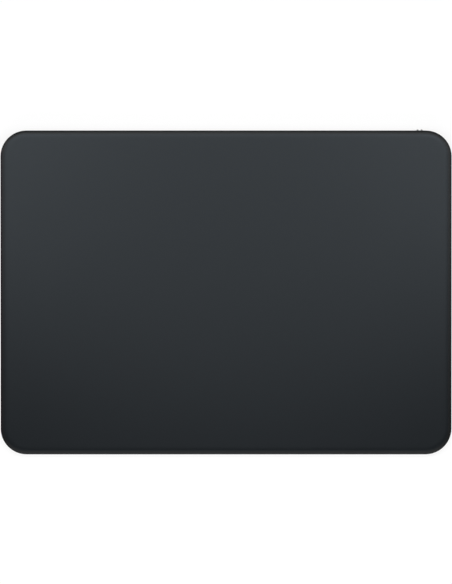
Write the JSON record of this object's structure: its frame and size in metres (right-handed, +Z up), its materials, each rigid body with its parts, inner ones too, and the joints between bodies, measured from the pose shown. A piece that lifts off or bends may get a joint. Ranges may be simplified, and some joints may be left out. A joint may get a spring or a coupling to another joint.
{
  "type": "trackpad",
  "caption": "Wedge-shaped desktop trackpad: an etched glass top that presses down on flexures over a metal tray, with a rear charging socket and a sliding power knob.",
  "frame": {"origin": "on the desk plane, under the middle of the tray's outline", "axes": "+X to the user's right, +Y away from the user towards the socket, +Z up from the desk"},
  "size_m": [0.16, 0.1153, 0.0109],
  "materials": {
    "etched_glass": "fine etched, dark from behind",
    "black_film": "matt black",
    "circuit_board": "solder mask",
    "steel_sheet": "rolled",
    "spring_steel": "ground",
    "magnet_steel": "dark oxide",
    "chip_plastic": "moulded",
    "light_plastic": "moulded",
    "gel": "soft",
    "anodised_aluminium": "bead blasted and anodised dark grey",
    "knob_plastic": "fine texture",
    "foot_rubber": "matt",
    "ribbon": "amber film",
    "screw_steel": "plain",
    "copper": "enamelled wire",
    "gold": "plated",
    "cell_foil": "matt foil",
    "green_mark": "painted"
  },
  "bodies": {
    "base": {"antenna_carrier": "light_plastic", "antenna_flex": "ribbon", "antenna_trace": "gold", "battery_adhesive": "black_film", "battery_cell": "cell_foil", "battery_lead": "ribbon", "battery_protection_board": "circuit_board", "beam_screws": "screw_steel", "board_screws": "screw_steel", "enclosure": "anodised_aluminium", "feet": "foot_rubber", "flex_connectors": "light_plastic", "force_beams": "spring_steel", "haptic_bracket": "steel_sheet", "haptic_coils": "copper", "haptic_core": "magnet_steel", "haptic_flex": "ribbon", "haptic_screws": "screw_steel", "logic_board": "circuit_board", "logic_capacitors": "light_plastic", "logic_chips": "chip_plastic", "sensor_flex": "ribbon", "shield_can": "steel_sheet", "socket_bracket": "steel_sheet", "socket_contacts": "gold", "socket_shell": "steel_sheet", "socket_tongue": "knob_plastic", "strain_gauges": "ribbon", "switch_board": "circuit_board", "switch_body": "chip_plastic", "switch_flex": "ribbon"},
    "pads": {"gel_pads": "gel"},
    "touch": {"glass_top": "etched_glass", "glass_adhesive": "black_film", "sensor_board": "circuit_board", "stiffener_plate": "steel_sheet", "sensor_chips": "chip_plastic", "sensor_connector": "light_plastic", "attraction_bar": "magnet_steel", "bar_adhesive": "black_film"},
    "power": {"power_knob": "knob_plastic", "switch_slider": "knob_plastic", "on_indicator": "green_mark", "switch_lever": "knob_plastic"}
  },
  "joints": [
    {"name": "surface_press", "type": "slide", "parent": "base", "child": "pads", "axis": [0, 0.0521, -0.9986], "range_m": [0, 0.0002], "stiffness_N_per_m": 15000, "springref_m": -0.0001, "deforming": ["force_beams", "sensor_flex"]},
    {"name": "haptic_shift", "type": "slide", "parent": "pads", "child": "touch", "axis": [0, 0.9986, 0.0521], "range_m": [-0.00015, 0.00015], "stiffness_N_per_m": 40000},
    {"name": "power_slide", "type": "slide", "parent": "base", "child": "power", "axis": [-1, 0, 0], "range_m": [0, 0.0022]}
  ]
}
